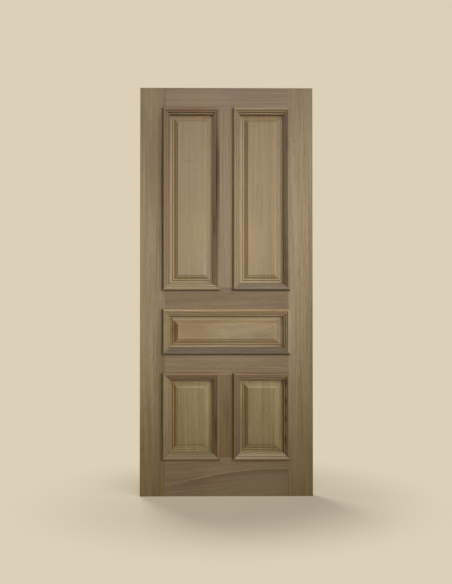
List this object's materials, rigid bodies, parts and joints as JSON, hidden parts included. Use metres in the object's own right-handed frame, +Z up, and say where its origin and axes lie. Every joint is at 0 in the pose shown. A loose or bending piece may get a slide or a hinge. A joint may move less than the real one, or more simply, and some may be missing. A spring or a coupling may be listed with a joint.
{
  "type": "panelled door leaf",
  "caption": "Bare hardwood door leaf: grooved and doweled stiles, rails and muntins hold raised and fielded panels, each ringed on both faces by mitred bolection mouldings.",
  "frame": {"origin": "middle of the bottom edge, half way through the thickness", "axes": "+Z up the leaf, +X to the right seen from the front, the front face looks along -Y"},
  "size_m": [0.838, 0.0674, 1.981],
  "materials": {
    "stile_wood": "bare planed hardwood, straight grain",
    "rail_wood": "bare planed hardwood, grey-brown",
    "muntin_wood": "bare planed hardwood, straight grain",
    "panel_wood": "bare planed hardwood, pale tan",
    "moulding_wood": "bare moulded hardwood, reddish brown",
    "dowel_wood": "bare turned beech"
  },
  "bodies": {
    "root": {"left_stile": "stile_wood", "right_stile": "stile_wood", "top_rail": "rail_wood", "frieze_rail": "rail_wood", "lock_rail": "rail_wood", "bottom_rail": "rail_wood", "upper_muntin": "muntin_wood", "lower_muntin": "muntin_wood", "upper_left_panel": "panel_wood", "upper_right_panel": "panel_wood", "middle_panel": "panel_wood", "lower_left_panel": "panel_wood", "lower_right_panel": "panel_wood", "front_upper_left_mould_top": "moulding_wood", "front_upper_left_mould_bottom": "moulding_wood", "front_upper_left_mould_left": "moulding_wood", "front_upper_left_mould_right": "moulding_wood", "front_upper_right_mould_top": "moulding_wood", "front_upper_right_mould_bottom": "moulding_wood", "front_upper_right_mould_left": "moulding_wood", "front_upper_right_mould_right": "moulding_wood", "front_middle_mould_top": "moulding_wood", "front_middle_mould_bottom": "moulding_wood", "front_middle_mould_left": "moulding_wood", "front_middle_mould_right": "moulding_wood", "front_lower_left_mould_top": "moulding_wood", "front_lower_left_mould_bottom": "moulding_wood", "front_lower_left_mould_left": "moulding_wood", "front_lower_left_mould_right": "moulding_wood", "front_lower_right_mould_top": "moulding_wood", "front_lower_right_mould_bottom": "moulding_wood", "front_lower_right_mould_left": "moulding_wood", "front_lower_right_mould_right": "moulding_wood", "back_upper_left_mould_top": "moulding_wood", "back_upper_left_mould_bottom": "moulding_wood", "back_upper_left_mould_left": "moulding_wood", "back_upper_left_mould_right": "moulding_wood", "back_upper_right_mould_top": "moulding_wood", "back_upper_right_mould_bottom": "moulding_wood", "back_upper_right_mould_left": "moulding_wood", "back_upper_right_mould_right": "moulding_wood", "back_middle_mould_top": "moulding_wood", "back_middle_mould_bottom": "moulding_wood", "back_middle_mould_left": "moulding_wood", "back_middle_mould_right": "moulding_wood", "back_lower_left_mould_top": "moulding_wood", "back_lower_left_mould_bottom": "moulding_wood", "back_lower_left_mould_left": "moulding_wood", "back_lower_left_mould_right": "moulding_wood", "back_lower_right_mould_top": "moulding_wood", "back_lower_right_mould_bottom": "moulding_wood", "back_lower_right_mould_left": "moulding_wood", "back_lower_right_mould_right": "moulding_wood", "rail_dowels": "dowel_wood", "muntin_dowels": "dowel_wood"}
  },
  "joints": []
}
